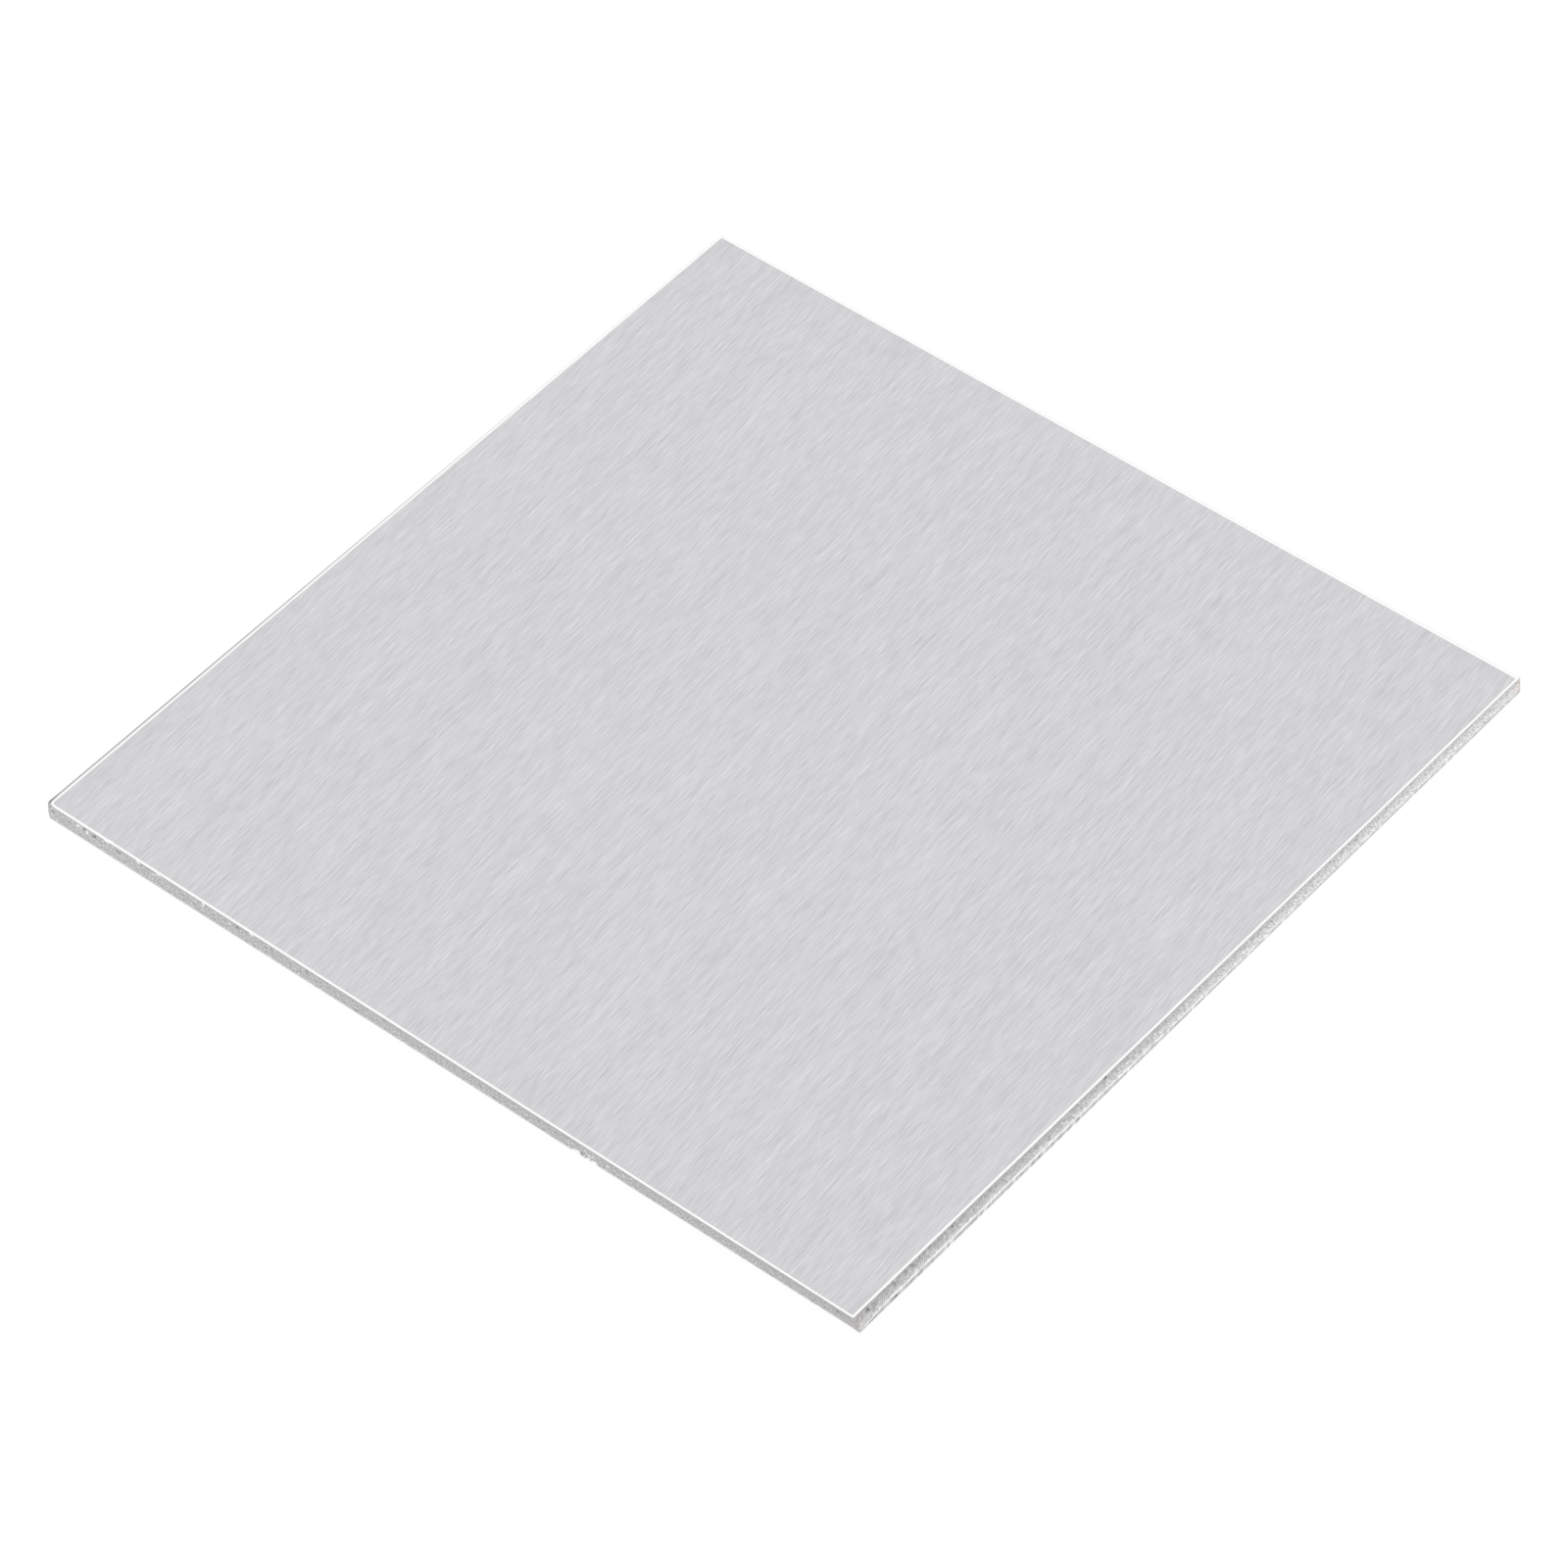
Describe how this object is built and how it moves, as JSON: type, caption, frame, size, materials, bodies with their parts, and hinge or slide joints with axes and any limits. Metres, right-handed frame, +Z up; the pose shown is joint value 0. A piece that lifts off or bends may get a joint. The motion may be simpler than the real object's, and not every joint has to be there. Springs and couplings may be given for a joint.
{
  "type": "aluminium sheet",
  "caption": "Square piece of thick aluminium sheet with a brushed top face, bright dressed top rim and sheared edges, for use as stock or as a plain plate.",
  "frame": {"origin": "middle of the square outline, on the plane of the bottom face on which the sheet lies", "axes": "+Z up through the thickness; +X along the edge that the brushing follows; +Y along the other edge"},
  "size_m": [0.15, 0.15, 0.003],
  "materials": {
    "brushed_aluminium": "brushed"
  },
  "bodies": {
    "root": {"sheet": "brushed_aluminium"}
  },
  "joints": []
}
